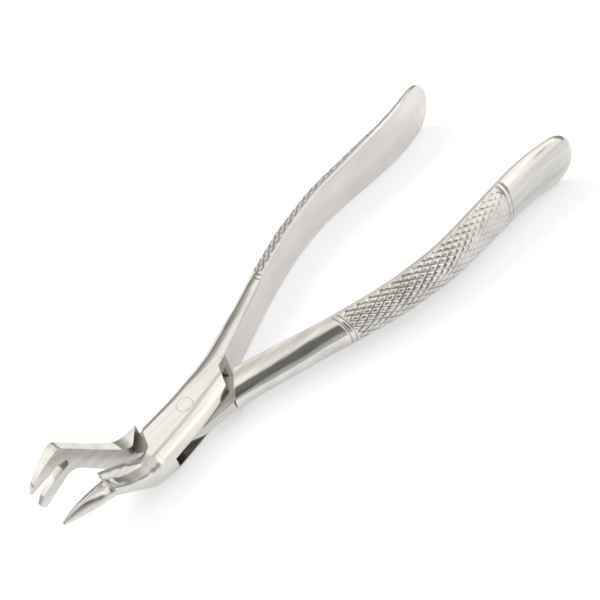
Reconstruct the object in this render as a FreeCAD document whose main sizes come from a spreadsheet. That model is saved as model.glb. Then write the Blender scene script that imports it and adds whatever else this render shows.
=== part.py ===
import FreeCAD, Part
import math
import os
import Sketcher

# Dental extraction forceps: two one-piece halves crossing in a box joint on one rivet pin.
# Millimetres. The origin is where the pivot axis meets the joint's underside, +Z is the
# pivot axis, +X runs to the handles and +Y to the box half's handle. The halves are drawn
# part-open, each turned the same angle away from the X axis.

doc = FreeCAD.newDocument("extraction_forceps")
sizes = doc.addObject("Spreadsheet::Sheet", "sizes")

DIMENSIONS = {
    "joint_height": 9.6,
    "joint_middle": 4.8,
    "joint_round": 4.4,
    # the slot through the box, and the tongue that slides in it
    "slot_floor": 3.2,
    "slot_height": 3.2,
    "tongue_floor": 3.28,
    "tongue_height": 3.04,
    # rivet pin, pressed in the plates and running in the tongue
    "pin_radius": 2.15,
    "running_radius": 2.19,
    # beak blanks: a side outline padded this far, then trimmed to a plan outline
    "blank_width": 12.0,
    "trim_depth": 60.0,
    "knee_round": 6.0,
    "crown_round": 1.6,
    "throat_round": 3.0,
    "tail_round": 8.0,
}

# Sections across a handle: distance along X, then where its flat inner face is, how tall it
# is, how thick it is and the radius of its rounded back.
HANDLE_SECTIONS = {
    "root": (9.0, -0.7, 9.3, 9.6, 3.6),
    "neck": (20.0, 3.9, 9.5, 8.0, 3.5),
    "shaft": (33.0, 9.2, 9.9, 7.0, 3.5),
    "front": (46.0, 14.3, 10.6, 6.6, 3.9),
    "belly": (62.0, 19.2, 11.6, 6.3, 4.8),
    "rear": (78.0, 21.7, 13.0, 6.0, 6.95),
    "waist": (94.0, 22.1, 14.7, 5.0, 9.6),
    "flare": (110.0, 22.7, 16.0, 4.2, 13.0),
    "tail": (120.0, 24.4, 16.6, 3.4, 21.0),
    "end": (128.6, 26.0, 17.0, 1.3, 60.0),
}

# Outlines. Plans hold X and Y; side views hold X and Z.
OUTLINES = {
    "box_plan": [(10.3, -4.8), (14.1, 2.0), (18.0, 3.2), (18.0, 9.8), (0.0, 7.1),
                 (-9.4, 6.6), (-10.8, 5.4), (-14.2, -1.6), (-16.0, -2.1), (-16.0, -8.6),
                 (-11.3, -8.3), (-0.5, -7.0)],
    "tongue_plan": [(16.4, -2.5), (20.0, -4.0), (20.0, -10.9), (10.5, -8.2), (-0.4, -7.1),
                    (-8.0, -5.5), (-12.5, -1.5), (-16.5, 1.9), (-18.0, 2.1), (-18.0, 6.4),
                    (-10.5, 6.7), (0.4, 6.7), (8.0, 5.5), (12.5, 1.0)],
    "slot_plan": [(19.0, 0.5), (13.4, 3.6), (11.6, 8.6), (11.6, 14.0), (-19.0, 14.0),
                  (-19.0, -1.1), (-13.6, -3.9), (-11.6, -8.6), (-11.6, -14.0), (19.0, -14.0)],
    "shoulder_plan": [(24.0, 5.25), (-5.0, 12.35), (-24.0, -5.25), (5.0, -12.35)],
    "fork_side": [(-10.0, 0.0), (-10.0, 9.6), (-18.0, 9.6), (-31.9, 25.6), (-41.3, 20.4),
                  (-42.6, 18.6), (-42.3, 13.0), (-41.2, 11.8), (-31.3, 17.2), (-19.6, 2.7),
                  (-13.0, 0.0)],
    "fork_slot": [(-31.6, 20.6), (-34.4, 20.8), (-46.0, 17.6), (-46.0, 12.0),
                  (-36.0, 17.4), (-31.9, 19.0)],
    "fork_plan": [(-8.0, 0.9), (-8.0, 6.2), (-17.0, 6.3), (-25.0, 6.2), (-33.0, 7.1),
                  (-42.7, 5.8), (-42.7, 4.8)],
    "point_side": [(-10.0, 1.4), (-10.0, 9.6), (-17.4, 9.6), (-28.9, 17.6),
                   (-27.9, 10.4), (-19.0, 2.2)],
    "point_plan": [(-10.0, -1.1), (-29.8, -3.35), (-29.8, -9.0), (-20.0, -8.9),
                   (-10.0, -7.4)],
    "tail_side": [(6.0, -3.7), (128.6, -3.7), (128.6, 13.3), (6.0, 13.3)],
}

# Sections across the single-point beak: X, then the centre's Y and Z, and the two half widths.
POINT_SECTIONS = {
    "base": (-27.4, -6.2, 13.5, 2.7, 3.6),
    "belly": (-35.5, -6.2, 14.7, 1.8, 2.8),
    "tip": (-42.4, -5.5, 15.0, 0.5, 0.7),
}

for label, (x, inner, tall, thick, back) in HANDLE_SECTIONS.items():
    DIMENSIONS[label + "_x"] = x
    DIMENSIONS[label + "_inner"] = inner
    DIMENSIONS[label + "_tall"] = tall
    DIMENSIONS[label + "_thick"] = thick
    DIMENSIONS[label + "_back"] = back
for label, (x, centre_y, centre_z, half_y, half_z) in POINT_SECTIONS.items():
    DIMENSIONS["point_" + label + "_x"] = x
    DIMENSIONS["point_" + label + "_y"] = centre_y
    DIMENSIONS["point_" + label + "_z"] = centre_z
    DIMENSIONS["point_" + label + "_half_wide"] = half_y
    DIMENSIONS["point_" + label + "_half_tall"] = half_z


def corner_alias(outline, number, direction):
    """The cell that holds one coordinate of one corner of an outline."""
    return "%s_%s_%s" % (outline, "abcdefghijklmnop"[number], direction)


for outline, corners in OUTLINES.items():
    for number, (across, up) in enumerate(corners):
        DIMENSIONS[corner_alias(outline, number, "across")] = across
        DIMENSIONS[corner_alias(outline, number, "up")] = up


def fill_sheet():
    """Give every driving dimension a cell with its own alias."""
    for row, (alias, value) in enumerate(DIMENSIONS.items(), start=1):
        sizes.set("A%d" % row, alias)
        sizes.set("B%d" % row, str(value))
        sizes.setAlias("B%d" % row, alias)
    doc.recompute()


def new_body(name):
    """An empty body."""
    return doc.addObject("PartDesign::Body", name)


def new_sketch(body, name, role, offset=None):
    """A sketch on an origin plane of its own body, raised along the plane's normal."""
    sketch = body.newObject("Sketcher::SketchObject", name)
    plane = [f for f in body.Origin.OriginFeatures if f.Role == role][0]
    sketch.AttachmentSupport = [(plane, "")]
    sketch.MapMode = "FlatFace"
    if offset:
        sketch.setExpression("AttachmentOffset.Base.z", offset)
    return sketch


def drive(sketch, kind, geometry, point, value, expression):
    """Hold a sketch point at a signed distance from the sketch's origin."""
    number = sketch.addConstraint(Sketcher.Constraint(kind, -1, 1, geometry, point, value))
    sketch.setExpression("Constraints[%d]" % number, expression)


def draw_outline(sketch, outline):
    """A closed straight-sided outline with each corner held by its two cells."""
    corners = [FreeCAD.Vector(across, up, 0) for across, up in OUTLINES[outline]]
    for number, corner in enumerate(corners):
        following = corners[(number + 1) % len(corners)]
        sketch.addGeometry(Part.LineSegment(corner, following), False)
    for number, corner in enumerate(corners):
        following = (number + 1) % len(corners)
        sketch.addConstraint(Sketcher.Constraint("Coincident", number, 2, following, 1))
        across = "sizes." + corner_alias(outline, number, "across")
        up = "sizes." + corner_alias(outline, number, "up")
        drive(sketch, "DistanceX", number, 1, corner.x, across)
        drive(sketch, "DistanceY", number, 1, corner.y, up)


def pad(body, name, sketch, length, reverse=False, midplane=False):
    """A pad of a sketch by an expression."""
    feature = body.newObject("PartDesign::Pad", name)
    feature.Profile = sketch
    feature.Reversed = reverse
    feature.Midplane = midplane
    feature.setExpression("Length", length)
    doc.recompute()
    return feature


def round_edges(body, name, radius, chosen):
    """A fillet on the edges whose two ends pass the test."""
    base = body.Tip
    edges = []
    for number, edge in enumerate(base.Shape.Edges, start=1):
        ends = [vertex.Point for vertex in edge.Vertexes]
        if len(ends) == 2 and chosen(ends[0], ends[1]):
            edges.append("Edge%d" % number)
    if not edges:
        raise RuntimeError(name + " finds no edge")
    feature = body.newObject("PartDesign::Fillet", name)
    feature.Base = (base, edges)
    feature.setExpression("Radius", radius)
    doc.recompute()
    return feature


def near(point, corner, axis):
    """True when a point lies over a corner of a plan (axis z) or side view (axis y)."""
    up = point.y if axis == "z" else point.z
    return abs(point.x - corner[0]) < 0.01 and abs(up - corner[1]) < 0.01


def block(name, outline, rounded_runs):
    """The joint block of one half, padded from its plan, with its outer edges rounded."""
    body = new_body(name)
    sketch = new_sketch(body, name + "_sketch", "XY_Plane")
    draw_outline(sketch, outline)
    pad(body, name + "_pad", sketch, "sizes.joint_height")
    corners = OUTLINES[outline]
    pairs = [(corners[run[i]], corners[run[i + 1]])
             for run in rounded_runs for i in range(len(run) - 1)]

    def outer(one, other):
        if abs(one.z - other.z) > 0.01:
            return False
        return any((near(one, p, "z") and near(other, q, "z")) or
                   (near(one, q, "z") and near(other, p, "z")) for p, q in pairs)

    round_edges(body, name + "_round", "sizes.joint_round", outer)
    return body


def draw_handle_section(sketch, label, side):
    """A D: flat inner face, and a back of three arcs that meet smoothly."""
    x, inner, tall, thick, back = HANDLE_SECTIONS[label]
    middle = DIMENSIONS["joint_middle"]
    half = tall / 2
    shoulder = (thick ** 2 + half ** 2 - 2 * thick * back) / (2 * (half - back))
    flat = side * inner
    back_centre = FreeCAD.Vector(side * (inner + thick - back), middle, 0)
    top_centre = FreeCAD.Vector(flat, middle + half - shoulder, 0)
    low_centre = FreeCAD.Vector(flat, middle - half + shoulder, 0)
    along = (back_centre - top_centre) * (1 if shoulder > back else -1)
    turn = math.atan2(along.y, abs(along.x))
    up = math.pi / 2
    if side > 0:
        arcs = [(low_centre, shoulder, -up, -turn), (back_centre, back, -turn, turn),
                (top_centre, shoulder, turn, up)]
        ends = (middle + half, middle - half)
    else:
        arcs = [(top_centre, shoulder, up, math.pi - turn),
                (back_centre, back, math.pi - turn, math.pi + turn),
                (low_centre, shoulder, math.pi + turn, math.pi + up)]
        ends = (middle - half, middle + half)
    for centre, radius, start, end in arcs:
        circle = Part.Circle(centre, FreeCAD.Vector(0, 0, 1), radius)
        sketch.addGeometry(Part.ArcOfCircle(circle, start, end), False)
    sketch.addGeometry(Part.LineSegment(FreeCAD.Vector(flat, ends[0], 0),
                                        FreeCAD.Vector(flat, ends[1], 0)), False)
    sketch.addConstraint(Sketcher.Constraint("Coincident", 2, 2, 3, 1))
    sketch.addConstraint(Sketcher.Constraint("Coincident", 3, 2, 0, 1))
    sketch.addConstraint(Sketcher.Constraint("Tangent", 0, 2, 1, 1))
    sketch.addConstraint(Sketcher.Constraint("Tangent", 1, 2, 2, 1))
    sketch.addConstraint(Sketcher.Constraint("Vertical", 0, 3, 3, 2))
    sketch.addConstraint(Sketcher.Constraint("Vertical", 2, 3, 3, 1))
    sign = "" if side > 0 else "-"
    top_first = "+" if side > 0 else "-"
    low_first = "-" if side > 0 else "+"
    cell = "sizes." + label
    drive(sketch, "DistanceX", 3, 1, flat, "%s%s_inner" % (sign, cell))
    drive(sketch, "DistanceX", 3, 2, flat, "%s%s_inner" % (sign, cell))
    height = "sizes.joint_middle %s " + cell + "_tall / 2"
    drive(sketch, "DistanceY", 3, 1, ends[0], height % top_first)
    drive(sketch, "DistanceY", 3, 2, ends[1], height % low_first)
    reach = "%s(%s_inner + %s_thick - %s_back)" % (sign, cell, cell, cell)
    drive(sketch, "DistanceX", 1, 3, back_centre.x, reach)
    drive(sketch, "DistanceY", 1, 3, middle, "sizes.joint_middle")
    number = sketch.addConstraint(Sketcher.Constraint("Radius", 1, back))
    sketch.setExpression("Constraints[%d]" % number, cell + "_back")


def handle(name, side):
    """One handle, lofted through its sections, with the corners of its tail rounded."""
    body = new_body(name)
    sections = []
    for label in HANDLE_SECTIONS:
        sketch = new_sketch(body, "%s_%s" % (name, label), "YZ_Plane", "sizes.%s_x" % label)
        draw_handle_section(sketch, label, side)
        sections.append(sketch)
    doc.recompute()
    loft = body.newObject("PartDesign::AdditiveLoft", name + "_loft")
    loft.Profile = sections[0]
    loft.Sections = sections[1:]
    doc.recompute()
    return body


def tail_former(name, side):
    """A bar as tall as the handle's tail, with the two corners of its far end rounded."""
    body = new_body(name)
    sketch = new_sketch(body, name + "_sketch", "XZ_Plane")
    draw_outline(sketch, "tail_side")
    pad(body, name + "_pad", sketch, "sizes.trim_depth", reverse=side > 0)
    low_corner, high_corner = OUTLINES["tail_side"][1:3]
    round_edges(body, name + "_round", "sizes.tail_round",
                lambda one, other: (near(one, low_corner, "y") and near(other, low_corner, "y"))
                or (near(one, high_corner, "y") and near(other, high_corner, "y")))
    return body


def boolean(kind, name, first, second):
    """A Part boolean of two objects."""
    feature = doc.addObject("Part::" + kind, name)
    feature.Base = first
    feature.Tool = second
    doc.recompute()
    return feature


def together(name, shapes):
    """The union of several objects."""
    feature = doc.addObject("Part::MultiFuse", name)
    feature.Shapes = shapes
    doc.recompute()
    return feature


def prism(name, role, outline, length, reverse=False, midplane=False):
    """A plain padded outline."""
    body = new_body(name)
    sketch = new_sketch(body, name + "_sketch", role)
    draw_outline(sketch, outline)
    pad(body, name + "_pad", sketch, length, reverse, midplane)
    return body


def corner_edges(outline, numbers):
    """A test for the edges that run across a side view's padded corners."""
    corners = [OUTLINES[outline][number] for number in numbers]
    return lambda one, other: any(near(one, corner, "y") and near(other, corner, "y")
                                  for corner in corners)


def shank(name, side_outline, plan_outline, side, knees, crown, throat):
    """A bayonet shank: the side view padded across, bent smoothly, trimmed to its plan."""
    blank = prism(name + "_blank", "XZ_Plane", side_outline, "sizes.blank_width",
                  reverse=side > 0)
    round_edges(blank, name + "_knees", "sizes.knee_round",
                corner_edges(side_outline, knees))
    if crown:
        round_edges(blank, name + "_crown", "sizes.crown_round",
                    corner_edges(side_outline, crown))
        round_edges(blank, name + "_throat", "sizes.throat_round",
                    corner_edges(side_outline, throat))
    plan = prism(name + "_plan", "XY_Plane", plan_outline, "sizes.trim_depth", midplane=True)
    return boolean("Common", name, blank, plan)


def draw_oval(sketch, label):
    """One oval section of the single-point beak, held by its centre and two half widths."""
    x, centre_y, centre_z, half_wide, half_tall = POINT_SECTIONS[label]
    cell = "sizes.point_" + label
    centre = FreeCAD.Vector(centre_y, centre_z, 0)
    top = centre + FreeCAD.Vector(0, half_tall, 0)
    side = centre - FreeCAD.Vector(half_wide, 0, 0)
    sketch.addGeometry(Part.Ellipse(top, side, centre), False)
    sketch.exposeInternalGeometry(0)
    drive(sketch, "DistanceX", 0, 3, centre.x, cell + "_y")
    drive(sketch, "DistanceY", 0, 3, centre.y, cell + "_z")
    sketch.addConstraint(Sketcher.Constraint("Vertical", 1))
    tall = sketch.addConstraint(Sketcher.Constraint("Distance", 1, 2 * half_tall))
    sketch.setExpression("Constraints[%d]" % tall, "2 * %s_half_tall" % cell)
    wide = sketch.addConstraint(Sketcher.Constraint("Distance", 2, 2 * half_wide))
    sketch.setExpression("Constraints[%d]" % wide, "2 * %s_half_wide" % cell)


def point(name):
    """The single beak's point, lofted through its oval sections."""
    body = new_body(name)
    sections = []
    for label in POINT_SECTIONS:
        sketch = new_sketch(body, "%s_%s" % (name, label), "YZ_Plane",
                            "sizes.point_%s_x" % label)
        draw_oval(sketch, label)
        sections.append(sketch)
    doc.recompute()
    loft = body.newObject("PartDesign::AdditiveLoft", name + "_loft")
    loft.Profile = sections[0]
    loft.Sections = sections[1:]
    doc.recompute()
    return body


def rod(name, radius):
    """A round bar on the pivot axis, as long as the joint is high."""
    bar = doc.addObject("Part::Cylinder", name)
    bar.setExpression("Radius", radius)
    bar.setExpression("Height", "sizes.joint_height")
    doc.recompute()
    return bar


def layer(name, outline, floor, height):
    """A flat layer inside the joint, from a plan, between two heights."""
    body = new_body(name)
    sketch = new_sketch(body, name + "_sketch", "XY_Plane", floor)
    draw_outline(sketch, outline)
    pad(body, name + "_pad", sketch, height)
    return body


def box_half():
    """The box half: two plates around a slot, its handle and the single-point beak."""
    grip = boolean("Common", "box_grip", handle("box_handle", 1), tail_former("box_tail", 1))
    plates = block("box_plates", "box_plan", [[3, 4, 5], [9, 10, 11, 0]])
    arm = shank("point_shank", "point_side", "point_plan", -1, [2, 5], [], [])
    blank = together("box_blank", [plates, grip, arm, point("point_beak")])
    slot = layer("box_slot", "slot_plan", "sizes.slot_floor", "sizes.slot_height")
    slotted = boolean("Cut", "box_slotted", blank, slot)
    half = boolean("Cut", "box_half", slotted, rod("box_hole", "sizes.pin_radius"))
    return half


def passing_half():
    """The passing half: a tongue between two shoulders, its handle and the forked beak."""
    grip = boolean("Common", "passing_grip", handle("passing_handle", -1),
                   tail_former("passing_tail", -1))
    root = block("passing_block", "tongue_plan", [[2, 3, 4], [9, 10, 11]])
    arm = shank("fork_shank", "fork_side", "fork_plan", 1, [2, 9], [3], [8])
    fork_slot = prism("fork_gap", "XZ_Plane", "fork_slot", "sizes.trim_depth", midplane=True)
    forked = boolean("Cut", "forked_beak", arm, fork_slot)
    blank = together("passing_blank", [root, grip, forked])
    above = layer("space_above", "shoulder_plan", "sizes.tongue_floor + sizes.tongue_height",
                  "sizes.trim_depth")
    below = layer("space_below", "shoulder_plan", "sizes.tongue_floor - sizes.trim_depth",
                  "sizes.trim_depth")
    spaces = together("plate_spaces", [above, below])
    waisted = boolean("Cut", "passing_waisted", blank, spaces)
    hole = rod("passing_hole", "sizes.running_radius")
    return boolean("Cut", "passing_half", waisted, hole)


def finish(nodes):
    """Check the whole document, then write each sub-part to its own file."""
    doc.recompute()
    for item in doc.Objects:
        if "Invalid" in item.State or "Error" in item.State:
            raise RuntimeError("%s is %s" % (item.Name, item.State))
    os.makedirs("parts", exist_ok=True)
    for node in nodes:
        shape = node.Shape
        if shape.isNull() or not shape.isValid() or len(shape.Solids) != 1:
            raise RuntimeError(node.Label + " is not one valid solid")
        shape.exportStep("parts/%s.step" % node.Label)
        box = shape.optimalBoundingBox()
        print("%-14s %8.1f mm3  x %.1f %.1f  y %.1f %.1f  z %.1f %.1f" % (
            node.Label, shape.Volume, box.XMin, box.XMax, box.YMin, box.YMax,
            box.ZMin, box.ZMax))


fill_sheet()
finish([box_half(), passing_half(), rod("joint_pin", "sizes.pin_radius")])
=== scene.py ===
import math

import bmesh
import bpy
import numpy as np
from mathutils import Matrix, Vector


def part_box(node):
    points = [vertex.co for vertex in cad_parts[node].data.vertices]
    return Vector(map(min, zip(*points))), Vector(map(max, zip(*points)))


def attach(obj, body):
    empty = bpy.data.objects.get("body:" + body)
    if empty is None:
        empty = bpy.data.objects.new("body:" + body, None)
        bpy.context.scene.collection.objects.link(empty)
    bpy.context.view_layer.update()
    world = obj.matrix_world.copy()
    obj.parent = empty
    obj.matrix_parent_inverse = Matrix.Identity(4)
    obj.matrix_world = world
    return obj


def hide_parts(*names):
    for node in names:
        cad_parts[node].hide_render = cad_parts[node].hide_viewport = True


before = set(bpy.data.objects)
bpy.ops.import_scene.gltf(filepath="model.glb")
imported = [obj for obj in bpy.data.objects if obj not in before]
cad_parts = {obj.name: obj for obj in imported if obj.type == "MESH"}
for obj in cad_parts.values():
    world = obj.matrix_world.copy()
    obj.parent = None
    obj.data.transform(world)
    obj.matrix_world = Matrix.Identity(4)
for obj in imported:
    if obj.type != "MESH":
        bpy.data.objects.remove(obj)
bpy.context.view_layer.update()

# Everything is modelled in millimetres in the row frame and scaled to metres as it is finished.
# The joint's height, the handles' end and the pin's radius come from the frame. SLOT and TONGUE
# are heights. KNURL, RINGS, CUT (the stretch that holds both) and the three places after it are
# distances along X. INSET keeps two faces of the passing half from lying in one plane.
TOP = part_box("joint_pin")[1].z * 1000
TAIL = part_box("box_half")[1].x * 1000
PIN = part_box("joint_pin")[1].x * 1000
MIDDLE = TOP / 2
SLOT = (3.2, 6.4)
TONGUE = (3.28, 6.32)
KNURL = (43.6, 99.0)
RINGS = (41.6, 43.0, 99.6, 101.2)
CUT = (40.5, 102.5)
BLOCK_FRONT = -14.3
FLAT_FROM = 15
SATIN_FROM = 17.3
INSET = 0.03
PLATE_HOLE = PIN + 0.015
TONGUE_HOLE = PIN + 0.05
THROUGH = (-5, 15)

# Places in FINISHES, the list of materials that every piece carries. DULL_AND_SHADED is darker
# steel for faces inside the joint and in hollows: partly their duller finish, partly painted
# shade.
POLISHED, SATIN, KNURLED, DULL_AND_SHADED, PIN_STEEL = range(5)


def curve(*pairs):
    """A smooth curve through (x, value) pairs that doesn't overshoot them."""
    x, y = np.array(pairs, float).T
    step = np.diff(x)
    slope = np.diff(y) / step
    same = slope[:-1] * slope[1:] > 0
    with np.errstate(divide="ignore", invalid="ignore"):
        mean = np.where(same, 2 / (1 / slope[:-1] + 1 / slope[1:]), 0)
    tangent = np.concatenate([slope[:1], mean, slope[-1:]])

    def value(at):
        at = np.clip(at, x[0], x[-1])
        i = np.clip(np.searchsorted(x, at) - 1, 0, len(step) - 1)
        t = (at - x[i]) / step[i]
        a = (1 + 2 * t) * (1 - t) ** 2 * y[i] + t * (1 - t) ** 2 * step[i] * tangent[i]
        b = t * t * (3 - 2 * t) * y[i + 1] + t * t * (t - 1) * step[i] * tangent[i + 1]
        return a + b

    return value


def smooth(a, b, t):
    """0 before a, 1 after b and an even ease between."""
    t = np.clip((t - a) / (b - a), 0, 1)
    return t * t * (3 - 2 * t)


def link(tree, a, output, b, socket):
    tree.links.new(a.outputs[output], b.inputs[socket])


def node(tree, kind, **inputs):
    """A shader node with its constant inputs set."""
    made = tree.nodes.new(kind)
    for key, value in inputs.items():
        made.inputs[key.replace("_", " ")].default_value = value
    return made


def ramp(tree, stops):
    """A colour ramp through (place, grey or colour) stops."""
    made = tree.nodes.new("ShaderNodeValToRGB")
    elements = made.color_ramp.elements
    while len(elements) < len(stops):
        elements.new(0.5)
    for element, (place, colour) in zip(elements, stops):
        colour = (colour,) * 3 if isinstance(colour, (int, float)) else colour
        element.position = place
        element.color = (*colour, 1)
    return made


def steel(name, dark, light, streak, rough, grain, bump, round_edge, wave):
    """Steel: its colour drifts between two, with fine lines and long waves along the piece.

    The cuts of the knurl and of the rings are painted darker the deeper they go, as painted
    shade, and the beaks are a little rougher than the rest.
    """
    material = bpy.data.materials.new(name)
    material.use_nodes = True
    tree = material.node_tree
    shader = tree.nodes["Principled BSDF"]
    shader.inputs["Metallic"].default_value = 1.0
    place = tree.nodes.new("ShaderNodeTexCoord")
    drawn = node(tree, "ShaderNodeMapping", Scale=streak)
    cloud = node(tree, "ShaderNodeTexNoise", Scale=1.0, Detail=4.0, Roughness=0.55)
    colour = ramp(tree, [(0.3, dark), (0.7, light)])
    link(tree, place, "Object", drawn, "Vector")
    link(tree, drawn, "Vector", cloud, "Vector")
    link(tree, cloud, "Fac", colour, "Fac")
    # The knurl's and the rings' cuts darken the colour by their depth: painted shade in the
    # grooves.
    depth = tree.nodes.new("ShaderNodeAttribute")
    depth.attribute_name = "cut"
    groove_shade = ramp(tree, [(0.10, 1.0), (0.30, (0.40, 0.385, 0.36))])
    groove_shaded = tree.nodes.new("ShaderNodeMix")
    groove_shaded.data_type = "RGBA"
    groove_shaded.blend_type = "MULTIPLY"
    groove_shaded.inputs[0].default_value = 1.0
    link(tree, depth, "Fac", groove_shade, "Fac")
    link(tree, colour, "Color", groove_shaded, 6)
    link(tree, groove_shade, "Color", groove_shaded, 7)
    link(tree, groove_shaded, 2, shader, "Base Color")
    brushed = node(tree, "ShaderNodeMapping", Scale=grain)
    lines = node(tree, "ShaderNodeTexNoise", Scale=1.0, Detail=6.0, Roughness=0.7)
    link(tree, place, "Object", brushed, "Vector")
    link(tree, brushed, "Vector", lines, "Vector")
    spread = node(tree, "ShaderNodeMapRange", From_Min=0.25, From_Max=0.75,
                  To_Min=rough[0], To_Max=rough[1])
    link(tree, lines, "Fac", spread, "Value")
    axes = tree.nodes.new("ShaderNodeSeparateXYZ")
    softer = node(tree, "ShaderNodeMapRange", From_Min=-0.012, From_Max=-0.027, To_Max=0.12)
    total = tree.nodes.new("ShaderNodeMath")
    link(tree, place, "Object", axes, "Vector")
    link(tree, axes, "X", softer, "Value")
    link(tree, spread, "Result", total, 0)
    link(tree, softer, "Result", total, 1)
    link(tree, total, "Value", shader, "Roughness")
    relief = node(tree, "ShaderNodeBump", Strength=bump, Distance=0.00002)
    link(tree, lines, "Fac", relief, "Height")
    if round_edge:
        eased = node(tree, "ShaderNodeBevel", Radius=round_edge)
        eased.samples = 4
        link(tree, eased, "Normal", relief, "Normal")
    roll = node(tree, "ShaderNodeMapping", Scale=(26, 260, 260))
    waves = node(tree, "ShaderNodeTexNoise", Scale=1.0, Detail=1.0, Roughness=0.4)
    swell = node(tree, "ShaderNodeBump", Strength=1.0, Distance=wave)
    link(tree, place, "Object", roll, "Vector")
    link(tree, roll, "Vector", waves, "Vector")
    link(tree, waves, "Fac", swell, "Height")
    link(tree, relief, "Normal", swell, "Normal")
    link(tree, swell, "Normal", shader, "Normal")
    return material


FINISHES = [
    steel("polished_steel", dark=(0.54, 0.53, 0.505), light=(0.71, 0.70, 0.67),
          streak=(22, 380, 380), rough=(0.08, 0.18), grain=(260, 1900, 1900), bump=0.35,
          round_edge=0.00022, wave=0.00014),
    steel("satin_steel", dark=(0.65, 0.637, 0.617), light=(0.75, 0.735, 0.715),
          streak=(60, 160, 160), rough=(0.34, 0.48), grain=(500, 2600, 1100), bump=0.6,
          round_edge=0, wave=0.0001),
    steel("knurled_steel", dark=(0.56, 0.55, 0.52), light=(0.72, 0.71, 0.68),
          streak=(150, 150, 150), rough=(0.17, 0.31), grain=(900, 1400, 1400), bump=0.5,
          round_edge=0, wave=0.00005),
    # Darker steel for the joint's inner faces and the hollows: partly a duller finish, partly
    # painted shade.
    steel("dull_and_shaded_steel", dark=(0.30, 0.288, 0.265), light=(0.46, 0.44, 0.41),
          streak=(90, 260, 260), rough=(0.28, 0.45), grain=(900, 1400, 1400), bump=0.5,
          round_edge=0, wave=0.00005),
    steel("pin_steel", dark=(0.58, 0.57, 0.545), light=(0.70, 0.69, 0.66),
          streak=(30, 380, 380), rough=(0.09, 0.19), grain=(300, 1900, 1900), bump=0.35,
          round_edge=0, wave=0.00009),
]

# The handle, the same on both halves but mirrored: how far out its back and its flat inner
# face are, half its height, the size and squareness of its two rounded back corners, and the
# small rounds along its inner face.
outer = curve((-16, 6.3), (-9.4, 6.6), (0, 7.1), (9, 8.6), (14, 9.8), (20, 11.8), (26, 13.9),
              (33, 16.2), (46, 20.8), (62, 25.4), (78, 27.6), (94, 27.0), (103, 26.8),
              (110, 27.0), (120, 27.9), (TAIL, 28.6))
inner = curve((9, -0.5), (13, 1.2), (20, 3.9), (33, 9.2), (46, 14.3), (62, 19.2), (78, 21.7),
              (94, 22.0), (104, 22.05), (112, 22.7), (120, 24.2), (TAIL, 26.0))
half = curve((-16, MIDDLE), (9, MIDDLE), (20, 4.75), (33, 4.95), (46, 5.3), (62, 5.8),
             (78, 6.5), (94, 7.4), (104, 8.0), (112, 8.35), (120, 8.5), (TAIL, 8.5))
corner_out = curve((-16, 4.4), (2, 4.4), (12, 6.3), (20, 7.6), (33, 6.8), (62, 6.0), (78, 5.7),
                   (94, 4.7), (104, 4.4), (120, 3.8), (TAIL, 2.4))
corner_up = curve((-16, 4.4), (2, 4.4), (12, 4.6), (33, 4.85), (46, 5.15), (62, 5.6),
                  (78, 6.1), (94, 6.0), (104, 6.6), (114, 7.0), (122, 6.4), (TAIL, 4.6))
face_edge = curve((9, 0.3), (20, 0.4), (94, 0.4), (103, 0.6), (TAIL, 0.6))
squareness = curve((-16, 2.0), (96, 2.0), (104, 1.85), (TAIL, 1.8))

# The box half past the handle: the right side of its joint block, then the outer side of the
# shank, and the shank's rise, underside, corners and the two-level top.
right_side = curve((-29.8, -9.0), (-20, -8.95), (-16, -8.7), (-11.3, -8.2), (-0.5, -6.9),
                   (10.3, -4.8), (17, -3.5))
shank_top = curve((-29.2, 17.8), (-26, 15.65), (-22, 12.9), (-19.5, 11.1), (-17.5, 10.05),
                  (-15.5, 9.65), (-13, TOP), (-12, TOP))
shank_under = curve((-29.2, 11.4), (-26, 8.7), (-22, 5.0), (-19, 2.5), (-15.5, 1.1), (-10, 0),
                    (0, 0))
right_top = curve((-29, 0.5), (-24, 0.8), (-19, 2.2), (-14, 4.4), (0, 4.4))
right_under = curve((-29, 3.2), (-22, 3.4), (-14, 4.3), (0, 4.4))
ledge = curve((-29, 1.7), (-25, 2.3), (-22, 1.7), (-18, 0.3), (-16, 0.0), (-10, 0.0))
shank_inside = curve((-29, 0.3), (-23, 0.4), (-20, 1.5), (-17.5, 1.9), (-15.5, 1.0),
                     (-14.3, 0.25))


def corner(centre, radii, square, start, count):
    """A quarter turn round a corner as a superellipse, from an angle in degrees."""
    angle = np.radians(np.linspace(start, start - 90, count))
    power = 2 / square
    y = centre[0] + radii[0] * np.sign(np.cos(angle)) * np.abs(np.cos(angle)) ** power
    z = centre[1] + radii[1] * np.sign(np.sin(angle)) * np.abs(np.sin(angle)) ** power
    return np.stack([y, z], 1)


def even(points, count):
    """The same polyline with its points evenly spaced."""
    length = np.concatenate([[0], np.cumsum(np.linalg.norm(np.diff(points, axis=0), axis=1))])
    keep = np.concatenate([[True], np.diff(length) > 1e-9])
    at = np.linspace(0, length[-1], count)
    return np.stack([np.interp(at, length[keep], points[keep, i]) for i in (0, 1)], 1)


# How many points a section has round its back, and then along its underside, its lower corner,
# its face, its upper corner and its top.
BACK = 104
FRONT = (7, 11, 7, 11, 19)


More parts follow.
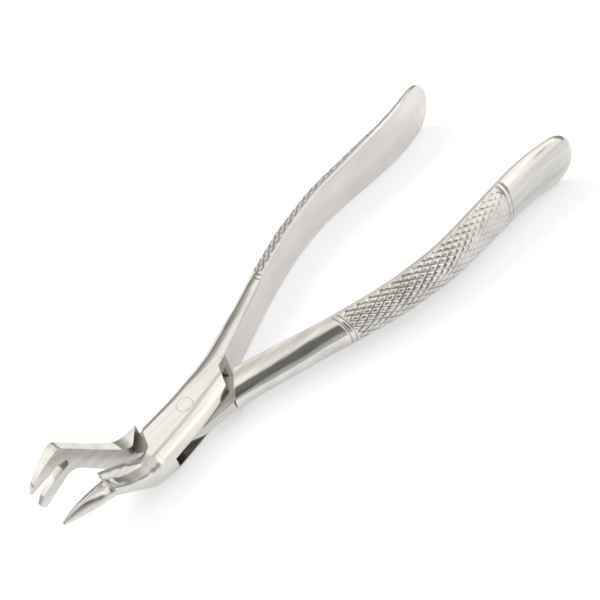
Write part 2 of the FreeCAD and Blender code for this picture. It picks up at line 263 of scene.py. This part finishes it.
def section(back, face, low, high, back_radii, back_square, face_top, face_low):
    """A closed section: a rounded back on +y and a side on -y with two corners of its own.

    The corners are held to a size at which they can't meet.
    """
    face_top = min(face_top, (back - face) * 0.62)
    face_low = min(face_low, (back - face) * 0.62)
    across = min(back_radii[0], back - face - max(face_top, face_low) - 0.02)
    up = min(back_radii[1], (high - low) * 0.485)
    top = corner((back - across, high - up), (across, up), back_square, 90, 40)
    under = corner((back - across, low + up), (across, up), back_square, 0, 40)
    arc = even(np.concatenate([top, under]), BACK)
    lower = corner((face + face_low, low + face_low), (face_low, face_low), 2, 270, FRONT[1])
    upper = corner((face + face_top, high - face_top), (face_top, face_top), 2, 180, FRONT[3])
    parts = [arc,
             np.linspace(arc[-1], lower[0], FRONT[0] + 2)[1:-1], lower,
             np.linspace(lower[-1], upper[0], FRONT[2] + 2)[1:-1], upper,
             np.linspace(upper[-1], arc[0], FRONT[4] + 2)[1:-1]]
    return np.concatenate(parts)


def tail_end(x, tall=8.0, thick=3.4):
    """How much height a handle has lost and how much thickness it keeps as its end rounds off."""
    into = np.clip(x - (TAIL - tall), 0, tall)
    lost = tall - math.sqrt(max(tall ** 2 - into ** 2, 0))
    near = np.clip((x - (TAIL - thick)) / thick, 0, 1)
    return lost, math.sqrt(max(1 - near ** 2, 0.02))


def handle_section(x):
    """The handle at x, with its back on +y."""
    lost, kept = tail_end(x)
    tall = float(half(x)) - lost
    face = float(inner(x))
    back = face + (float(outer(x)) - face) * kept
    radii = (float(corner_out(x)) * kept, float(corner_up(x)) * min(1, tall / 4))
    edge = float(face_edge(x)) * kept
    return section(back, face, MIDDLE - tall, MIDDLE + tall, radii, float(squareness(x)),
                   edge, edge)


def box_section(x):
    """The box half at x: its handle, then the joint block, then the shank."""
    if x > 16:
        return handle_section(x)
    side = float(right_side(x))
    if x > BLOCK_FRONT:
        return section(float(outer(x)), side, float(shank_under(x)), TOP,
                       (float(corner_out(x)), float(corner_up(x))), 2.0,
                       float(right_top(x)), float(right_under(x)))
    high, low = float(shank_top(x)), float(shank_under(x))
    radius = float(shank_inside(x))
    loop = section(-1.58 + 0.1124 * (x - BLOCK_FRONT), side, low, high, (radius, radius * 0.8),
                   2.0, float(right_top(x)), float(right_under(x)))
    upper = smooth(low + 0.25 * (high - low), high - 0.5, loop[:, 1])
    loop[:, 1] -= float(ledge(x)) * upper * smooth(-4.1, -5.3, loop[:, 0])
    return loop


def stations(breaks):
    """Distances along X, from (start, step) pairs; the last pair only ends the run."""
    out = []
    for (start, step), (end, _) in zip(breaks, breaks[1:]):
        count = max(1, round(abs(end - start) / step))
        out += [start + (end - start) * i / count for i in range(count)]
    return out + [breaks[-1][0]]


def knurl_depth(along, around, width):
    """How deep the cut is at a place on a handle's back, measured from the handle's end.

    Two sets of grooves cross, a little uneven, and they get shallower near the end.
    """
    pitch, angle, groove, deepest = 1.72, math.radians(29), 0.42, 0.36
    deep = np.zeros_like(around)
    for sign in (-1, 1):
        place = (sign * along * math.sin(angle) + around * math.cos(angle)) / pitch
        away = np.abs(place - np.round(place)) * pitch
        notch = np.clip(1 - away / groove, 0, 1)
        dome = (1 - away / (pitch / 2)) ** 2
        deep = np.maximum(deep, 0.76 * notch + 0.24 * dome)
    uneven = 0.88 + 0.12 * np.sin(along * 0.83 + 1.3 * np.sin(around * 0.61))
    uneven *= 0.52 + 0.48 * smooth(32, 74, along)
    within = smooth(0.6, 1.2, width / 2 - np.abs(around))
    return deepest * deep * uneven * within


def loft(name, at, make, mirror):
    """A skin over sections at the given distances, with the knurl and the rings cut in."""
    loops = np.array([make(x) for x in at])
    grid = np.concatenate([np.broadcast_to(np.array(at)[:, None, None],
                                           loops.shape[:2] + (1,)), loops], 2)
    back = grid[:, :BACK]
    around = np.cumsum(np.linalg.norm(np.diff(back, axis=1, prepend=back[:, :1]), axis=2), 1)
    width = around[:, -1:]
    around = around - width / 2
    middle = back[:, BACK // 2]
    along = np.cumsum(np.linalg.norm(np.diff(middle, axis=0, prepend=middle[:1]), axis=1))
    along = np.broadcast_to(along[:, None], around.shape)
    normal = np.cross(np.gradient(back, axis=0), np.gradient(back, axis=1))
    normal /= np.maximum(np.linalg.norm(normal, axis=2, keepdims=True), 1e-9)
    centre = back.mean(1, keepdims=True)
    normal *= np.where((normal * (back - centre)).sum(2, keepdims=True) < 0, -1, 1)
    x = back[:, :, 0]
    within = (smooth(KNURL[0] - 0.25, KNURL[0] + 0.25, x)
              * smooth(KNURL[1] + 0.25, KNURL[1] - 0.25, x))
    cut = knurl_depth(along, around, width) * within
    for ring in RINGS:
        groove = np.exp(-((x - ring) / 0.2) ** 2) * smooth(0.1, 0.5, width / 2 - np.abs(around))
        cut = np.maximum(cut, 0.28 * groove)
    grid[:, :BACK] = back - normal * cut[:, :, None]
    if mirror:
        grid[:, :, 1] *= -1
    rows, columns = grid.shape[:2]
    mesh = bpy.data.meshes.new(name)
    faces, slots = [], []
    flat_from, flat_to = BACK + FRONT[0] + FRONT[1] - 1, BACK + sum(FRONT[:3])
    for i in range(rows - 1):
        middle_x = (at[i] + at[i + 1]) / 2
        for j in range(columns):
            k = (j + 1) % columns
            faces.append((i * columns + j, i * columns + k, (i + 1) * columns + k,
                          (i + 1) * columns + j))
            # The inner face between FLAT_FROM and SATIN_FROM takes the darker steel: partly
            # duller finish, partly painted shade in the joint.
            if middle_x > FLAT_FROM and flat_from <= j <= flat_to:
                slots.append(SATIN if middle_x > SATIN_FROM else DULL_AND_SHADED)
            elif KNURL[0] - 0.3 < middle_x < KNURL[1] + 0.3 and 4 < j < BACK - 6:
                slots.append(KNURLED)
            else:
                slots.append(POLISHED)
    faces += [tuple(range(columns)), tuple((rows - 1) * columns + j for j in range(columns))]
    # The cap at the last station takes the darker steel: painted shade on the end face.
    slots += [POLISHED, DULL_AND_SHADED]
    mesh.from_pydata(grid.reshape(-1, 3).tolist(), [], faces)
    mesh.polygons.foreach_set("material_index", slots)
    depth = np.zeros((rows, columns))
    depth[:, :BACK] = cut
    mesh.attributes.new("cut", "FLOAT", "POINT").data.foreach_set("value", depth.ravel())
    return clean(new_object(name, mesh))


def new_object(name, mesh, finishes=FINISHES):
    """An object of a mesh, in the scene, with its finishes to hand."""
    for finish in finishes:
        mesh.materials.append(finish)
    obj = bpy.data.objects.new(name, mesh)
    bpy.context.scene.collection.objects.link(obj)
    return obj


def clean(obj):
    """The same mesh with its faces looking outwards."""
    work = bmesh.new()
    work.from_mesh(obj.data)
    bmesh.ops.recalc_face_normals(work, faces=work.faces)
    work.to_mesh(obj.data)
    work.free()
    return obj


def rounded(points, radii):
    """An outline with an arc at each corner that has a radius."""
    out = []
    for i, here in enumerate(points):
        radius = radii.get(i, 0)
        here = np.array(here, float)
        if not radius:
            out.append(here)
            continue
        before = np.array(points[i - 1], float) - here
        after = np.array(points[(i + 1) % len(points)], float) - here
        before, after = before / np.linalg.norm(before), after / np.linalg.norm(after)
        between = math.acos(np.clip(before @ after, -1, 1))
        back_off = radius / math.tan(between / 2)
        centre = here + (before + after) / np.linalg.norm(before + after) * (
            radius / math.sin(between / 2))
        one, other = here + before * back_off - centre, here + after * back_off - centre
        turn = math.atan2(one[0] * other[1] - one[1] * other[0], one @ other)
        for t in np.linspace(0, turn, 10):
            c, s = math.cos(t), math.sin(t)
            out.append(centre + np.array([c * one[0] - s * one[1], s * one[0] + c * one[1]]))
    return out


def prism(name, outline, plane, low, high, bevel=0, finish=POLISHED):
    """A solid of an outline in plan (xy) or side view (xz), between two heights or widths."""
    count = len(outline)
    if plane == "xy":
        corners = [(p[0], p[1], h) for h in (low, high) for p in outline]
    else:
        corners = [(p[0], h, p[1]) for h in (low, high) for p in outline]
    faces = [tuple(range(count)), tuple(range(count, 2 * count))]
    faces += [(i, (i + 1) % count, count + (i + 1) % count, count + i) for i in range(count)]
    mesh = bpy.data.meshes.new(name)
    mesh.from_pydata(corners, [], faces)
    mesh.polygons.foreach_set("material_index", [finish] * len(faces))
    obj = clean(new_object(name, mesh))
    if bevel:
        soften(obj, bevel)
    return obj


def applied(obj):
    """The object with its modifiers made part of its mesh."""
    view = bpy.context.evaluated_depsgraph_get()
    mesh = bpy.data.meshes.new_from_object(obj.evaluated_get(view))
    obj.modifiers.clear()
    obj.data = mesh
    return obj


def soften(obj, width):
    """Small rounds on the sharp edges."""
    modifier = obj.modifiers.new("edge", "BEVEL")
    modifier.width = width
    modifier.segments = 3
    modifier.limit_method = "ANGLE"
    modifier.angle_limit = math.radians(28)
    return applied(obj)


def combine(kind, base, *tools):
    """The base with each tool joined, cut away or kept in common; the tools are used up."""
    for tool in tools:
        modifier = base.modifiers.new("combine", "BOOLEAN")
        modifier.operation = kind
        modifier.solver = "EXACT"
        modifier.object = tool
        applied(base)
        bpy.data.objects.remove(tool)
    return base


# The single point: its inner and outer sides, its top, the hard edge along its outer side and
# its underside. It starts inside the shank and steps down in front of the collar.
point_in = curve((-42.5, -5.2), (-41.8, -5.0), (-35.5, -4.3), (-31, -3.65), (-28.5, -3.5),
                 (-27, -3.5))
point_out = curve((-42.5, -5.8), (-41.8, -6.1), (-35.5, -7.95), (-31, -8.8), (-27, -8.98))
point_top = curve((-42.5, 15.3), (-41.8, 15.9), (-35.5, 16.9), (-32, 16.45), (-29.7, 15.9),
                  (-29.3, 15.95), (-29.0, 16.25), (-28.5, 15.2), (-27, 15.2))
point_edge = curve((-42.5, 14.9), (-41.8, 14.9), (-35.5, 14.4), (-30, 13.8), (-27, 13.6))
point_low = curve((-42.5, 14.6), (-41.8, 14.3), (-35.5, 12.1), (-30, 10.8), (-27, 10.2))


def bend(a, towards, b, count):
    """A curve from a to b that leaves and arrives pointing at a third place."""
    t = np.linspace(0, 1, count, endpoint=False)[:, None]
    return (1 - t) ** 2 * np.array(a) + 2 * t * (1 - t) * np.array(towards) + t ** 2 * np.array(b)


def point_section(x):
    """The point at x: rounded over the top and inside, with a flat along its outer underside."""
    near, far = float(point_in(x)), float(point_out(x))
    high, low = float(point_top(x)), float(point_low(x))
    wide, tall = near - far, high - low
    top = (far + 0.56 * wide, high)
    side = (near, low + 0.6 * tall)
    under = (far + 0.62 * wide, low)
    rim = (far, float(point_edge(x)))
    yz = np.concatenate([bend(top, (far + 0.12 * wide, high), rim, 26),
                         bend(rim, (far + 0.22 * wide, low + 0.12 * tall), under, 12),
                         bend(under, (near, low), side, 16),
                         bend(side, (near, high), top, 20)])
    return np.concatenate([np.full((len(yz), 1), x), yz], 1)


def rings(name, loops):
    """A closed skin over loops of points."""
    rows, columns = len(loops), len(loops[0])
    faces = [(i * columns + j, i * columns + (j + 1) % columns,
              (i + 1) * columns + (j + 1) % columns, (i + 1) * columns + j)
             for i in range(rows - 1) for j in range(columns)]
    faces += [tuple(range(columns)), tuple((rows - 1) * columns + j for j in range(columns))]
    mesh = bpy.data.meshes.new(name)
    mesh.from_pydata(np.concatenate(loops).tolist(), [], faces)
    return clean(new_object(name, mesh))


def turned(name, profile, around=96):
    """A solid turned round the pivot from (height, radius) pairs."""
    angle = np.linspace(0, 2 * math.pi, around, endpoint=False)
    return rings(name, [np.stack([r * np.cos(angle), r * np.sin(angle), np.full(around, z)], 1)
                        for z, r in profile])


def hole(radius):
    """The pin's hole."""
    return turned("hole", [(-1, radius), (TOP + 1, radius)])


# The handle's stations from its end to behind the joint, close together through the knurl.
HANDLE = [(TAIL - 0.03, 0.25), (TAIL - 9, 0.8), (CUT[1], 0.16), (CUT[0], 0.6), (22, 0.5)]


def box_half():
    """The box half: handle, joint block and shank in one, with its slot and its point."""
    at = stations(HANDLE + [(16.01, 0.01), (15.99, 0.6), (-9, 0.4), (BLOCK_FRONT + 0.01, 0.01),
                            (BLOCK_FRONT - 0.01, 0.3), (-29.0, 1)])
    half_mesh = loft("box_half_visual", at, box_section, False)
    # The faces these cutters leave take the darker steel: partly duller finish, partly painted
    # shade inside the joint.
    slot = prism("slot", [(19, 0.5), (13.4, 3.6), (11.6, 8.6), (11.6, 14), (-19, 14),
                          (-19, -1.1), (-13.6, -3.9), (-11.6, -8.6), (-11.6, -14), (19, -14)],
                 "xy", *SLOT, finish=DULL_AND_SHADED)
    handle_end = prism("handle_end", [(8.3, -8.4), (13.9, 1.5), (17.2, 2.66), (17.7, -9)],
                       "xy", *THROUGH, finish=DULL_AND_SHADED)
    beak_end = prism("beak_end", [(-9.2, 6.9), (-10.8, 5.4), (-14.2, -1.6), (-14.36, -1.62),
                                  (-14.5, -1.2), (-15, 9), (-9, 9)], "xy", *THROUGH,
                     finish=DULL_AND_SHADED)
    point = rings("point", [point_section(x) for x in np.linspace(-27.2, -42.5, 90)])
    combine("DIFFERENCE", half_mesh, slot, handle_end, beak_end, hole(PLATE_HOLE))
    return combine("UNION", half_mesh, point)


def passing_half():
    """The passing half: handle and shoulder, the tongue, and the forked beak on its shank."""
    half_mesh = loft("passing_half_visual", stations(HANDLE + [(4.5, 1)]), handle_section, True)
    # The faces this cut leaves take the darker steel: partly duller finish, partly painted shade
    # inside the joint.
    near_shoulder = prism("near_shoulder", [(24, 5.25), (5, -12.35), (-5, -12), (-5, 10),
                                            (20, 10)], "xy", *THROUGH, finish=DULL_AND_SHADED)
    tongue = prism("tongue", [(18, -4), (18, -9.6), (10.5, -8.1), (-0.4, -7.0), (-8, -5.5),
                              (-12.5, -1.5), (-16.5, 1.9), (-17.5, 2.1), (-17.5, 5.6),
                              (-10.5, 6.3), (0.4, 6.4), (8, 5.5), (12.5, 1.0), (16.4, -2.5)],
                   "xy", *TONGUE, 0.25)
    # The tongue's top and underside take the darker steel: painted shade in the gap between the
    # block and the shoulder.
    for face in tongue.data.polygons:
        face.material_index = DULL_AND_SHADED if abs(face.normal.z) > 0.9 else POLISHED
    side = rounded([(-10, 0), (-10, 9.6), (-18, 9.6), (-31.9, 25.6), (-37.6, 23.0),
                    (-41.3, 20.3), (-42.6, 18.2), (-42.3, 13.0), (-41.2, 11.8),
                    (-31.3, 17.2), (-19.6, 2.7), (-13, 0)],
                   {2: 6, 3: 1.7, 4: 12, 5: 3, 6: 0.6, 7: 0.5, 8: 0.6, 9: 3.2, 10: 6})
    fork = prism("fork", side, "xz", -3, 12)
    plan = prism("fork_plan", [(-8, 0.9), (-8, 6.1), (-17, 6.3), (-25, 6.2), (-33, 7.0),
                               (-42.7, 5.8), (-42.7, 4.8)], "xy", -10, 40)
    gap = prism("fork_gap", rounded([(-31.6, 19.0), (-31.5, 20.6), (-34.4, 20.8),
                                     (-46, 17.2), (-46, 10.2), (-40.4, 15.5),
                                     (-36, 17.6), (-33.4, 18.43)],
                                    {0: 0.3, 1: 0.3, 5: 4, 6: 3}), "xz", -10, 20)
    # The walls at the closed end of the gap, from x = -33.4 on, take the darker steel: painted
    # shade deep in the gap.
    for face in gap.data.polygons:
        face.material_index = DULL_AND_SHADED if face.center.x > -33.4 else POLISHED
    combine("INTERSECT", fork, plan)
    soften(combine("DIFFERENCE", fork, gap), 0.22)
    # The faces these cuts leave take the darker steel: partly duller finish, partly painted shade
    # inside the joint.
    for low, high in ((-5, TONGUE[0] + INSET), (TONGUE[1] - INSET, 12)):
        combine("DIFFERENCE", fork, prism(
            "far_shoulder", [(-5, 12.35), (-24, -5.25), (0, -12), (10, 0)], "xy", low, high,
            finish=DULL_AND_SHADED))
    combine("DIFFERENCE", half_mesh, near_shoulder)
    combine("UNION", half_mesh, tongue, fork)
    return combine("DIFFERENCE", half_mesh, hole(TONGUE_HOLE))


def joint_pin():
    """The rivet: ground flush, with a hair of a chamfer at each end."""
    pin = turned("joint_pin_visual", [(0, PIN - 0.07), (0.05, PIN), (TOP - 0.05, PIN),
                                      (TOP, PIN - 0.07)])
    for face in pin.data.polygons:
        face.material_index = PIN_STEEL
    return pin


def finish_piece(obj, body, cad_node):
    """Scale to metres, set the sharp edges and stand for the CAD node.

    The knurled stretch has no sharp edges, so its diamonds stay soft.
    """
    for face in obj.data.polygons:
        face.use_smooth = True
    work = bmesh.new()
    work.from_mesh(obj.data)
    for edge in work.edges:
        x = (edge.verts[0].co.x + edge.verts[1].co.x) / 2
        angle = edge.calc_face_angle(0)
        edge.smooth = angle < math.radians(34) or CUT[0] < x < CUT[1]
    bmesh.ops.scale(work, vec=(0.001, 0.001, 0.001), verts=work.verts)
    work.to_mesh(obj.data)
    work.free()
    modifier = obj.modifiers.new("normals", "WEIGHTED_NORMAL")
    modifier.keep_sharp = True
    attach(obj, body)
    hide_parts(cad_node)


finish_piece(box_half(), "box", "box_half")
finish_piece(passing_half(), "passing", "passing_half")
finish_piece(joint_pin(), "box", "joint_pin")

# The table it lies on: it rests on the front of the joint and on both handle tails, so the
# table slopes a little in the row frame.
REACH = 12
DROP = 0.00036
slope = -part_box("box_half")[0].z / 0.130
floor_mesh = bpy.data.meshes.new("floor")
floor_mesh.from_pydata([(x, y, -DROP - slope * x) for x, y in
                        ((-REACH, -REACH), (REACH, -REACH), (REACH, REACH), (-REACH, REACH))],
                       [], [(0, 1, 2, 3)])
paper = bpy.data.materials.new("white_paper")
paper.use_nodes = True
paper_tree = paper.node_tree
paper_shader = paper_tree.nodes["Principled BSDF"]
fibre = node(paper_tree, "ShaderNodeTexNoise", Scale=420.0, Detail=4.0)
tone = ramp(paper_tree, [(0.3, (0.67, 0.67, 0.68)), (0.7, (0.69, 0.69, 0.70))])
link(paper_tree, fibre, "Fac", tone, "Fac")
link(paper_tree, tone, "Color", paper_shader, "Base Color")
for key, value in (("Roughness", 0.8), ("Specular IOR Level", 0.0),
                   ("Emission Color", (0.96, 0.955, 1, 1)), ("Emission Strength", 0.46)):
    paper_shader.inputs[key].default_value = value
new_object("floor", floor_mesh, [paper])

# A white light tent that the steel reflects: bright above, dark round the horizon, and with the
# patches below for its openings and its brighter panels.
world = bpy.data.worlds.new("tent")
bpy.context.scene.world = world
world.use_nodes = True
tree = world.node_tree
sky = tree.nodes["Background"]
direction = tree.nodes.new("ShaderNodeTexCoord")
split = tree.nodes.new("ShaderNodeSeparateXYZ")
link(tree, direction, "Generated", split, "Vector")
height = node(tree, "ShaderNodeMapRange", From_Min=-1.0)
link(tree, split, "Z", height, "Value")
tent = ramp(tree, [(0.0, (0.8, 0.8, 0.8)), (0.48, (0.70, 0.70, 0.70)),
                   (0.52, (0.24, 0.24, 0.235)), (0.58, (0.36, 0.357, 0.345)),
                   (0.70, (0.60, 0.59, 0.56)), (0.78, (0.84, 0.825, 0.78)),
                   (0.82, (1.0, 0.98, 0.93)), (0.90, (0.88, 0.86, 0.82)),
                   (1.0, (1.0, 0.99, 0.96))])
link(tree, height, "Result", tent, "Fac")


def patch(under, towards, inner_cos, outer_cos, colour):
    """Lay a colour over the sky around one direction, full within the inner cosine."""
    dot = tree.nodes.new("ShaderNodeVectorMath")
    dot.operation = "DOT_PRODUCT"
    dot.inputs[1].default_value = Vector(towards).normalized()
    link(tree, direction, "Generated", dot, 0)
    near = node(tree, "ShaderNodeMapRange", From_Min=outer_cos, From_Max=inner_cos)
    near.interpolation_type = "SMOOTHSTEP"
    link(tree, dot, "Value", near, "Value")
    mix = tree.nodes.new("ShaderNodeMix")
    mix.data_type = "RGBA"
    link(tree, near, "Result", mix, 0)
    tree.links.new(under, mix.inputs[6])
    mix.inputs[7].default_value = (*colour, 1)
    return mix.outputs[2]


# What each patch is seen in, in order: the sides turned to the camera, the near handle's end, the
# joint's flat top, the rounded right edge of the joint (two patches), the dark band along the
# near handle (two), the rim of that handle's end and the forked beak's outer face.
PATCHES = [
    ((0.20, -0.98, 0.05), 0.92, 0.62, (0.62, 0.615, 0.60)),
    ((0.52, -0.83, 0.18), 0.965, 0.90, (1.30, 1.28, 1.23)),
    ((0.12, 0.69, 0.72), 0.985, 0.94, (1.35, 1.33, 1.27)),
    ((0.56, -0.52, 0.645), 0.97, 0.90, (1.6, 1.58, 1.52)),
    ((0.38, -0.12, 0.91), 0.985, 0.93, (1.4, 1.38, 1.33)),
    ((-0.08, -0.57, 0.81), 0.968, 0.91, (0.20, 0.20, 0.205)),
    ((0.10, -0.86, 0.50), 0.978, 0.955, (0.14, 0.14, 0.145)),
    ((0.88, -0.30, 0.36), 0.985, 0.95, (0.40, 0.40, 0.395)),
    ((-0.53, 0.67, 0.52), 0.975, 0.92, (1.5, 1.49, 1.45)),
]
light = tent.outputs["Color"]
for towards, inner_cos, outer_cos, colour in PATCHES:
    light = patch(light, towards, inner_cos, outer_cos, colour)
tree.links.new(light, sky.inputs["Color"])

# A soft box from behind and above. It casts the shadow but shows in no reflection.
lamp_data = bpy.data.lights.new("soft_box", "AREA")
lamp_data.shape = "SQUARE"
lamp_data.size = 0.6
lamp_data.energy = 2.5
lamp_data.color = (1.0, 0.985, 0.95)
lamp = bpy.data.objects.new("soft_box", lamp_data)
lamp.visible_glossy = False
lamp.location = (-0.07, 0.58, 0.45)
lamp.rotation_euler = (Vector((0.03, 0, 0)) - lamp.location).to_track_quat("-Z", "Y").to_euler()
bpy.context.scene.collection.objects.link(lamp)

# The photograph's camera.
camera_data = bpy.data.cameras.new("camera")
camera_data.lens = 72
camera_data.sensor_width = 36
camera_data.clip_start = 0.01
camera = bpy.data.objects.new("camera", camera_data)
camera.location = (-0.08170, -0.18849, 0.23218)
camera.rotation_euler = [math.radians(a) for a in (43.582, 13.327, -47.109)]
bpy.context.scene.collection.objects.link(camera)
bpy.context.scene.camera = camera
bpy.context.scene.view_settings.view_transform = "Standard"
